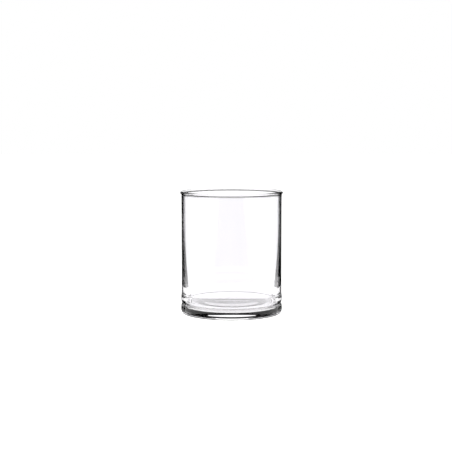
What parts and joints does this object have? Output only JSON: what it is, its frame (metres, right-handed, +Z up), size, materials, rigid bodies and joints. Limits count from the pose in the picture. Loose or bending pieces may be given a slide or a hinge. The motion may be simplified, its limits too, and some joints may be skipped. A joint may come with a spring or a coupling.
{
  "type": "glass cylinder vase",
  "caption": "Clear glass cylinder vase with a fire-polished rim bead, a wall that thickens downwards and a thick base disc set off by a groove.",
  "frame": {"origin": "centre of the underside, on the surface that the vase stands on", "axes": "+Z up along the vase's axis and out of its mouth; +X and +Y are any two directions square to it, as the vase is round"},
  "size_m": [0.101, 0.101, 0.1204],
  "materials": {
    "clear_glass": "fire-polished, clear and colourless"
  },
  "bodies": {
    "root": {"rim_bead": "clear_glass", "side_wall": "clear_glass", "base_disc": "clear_glass"}
  },
  "joints": []
}
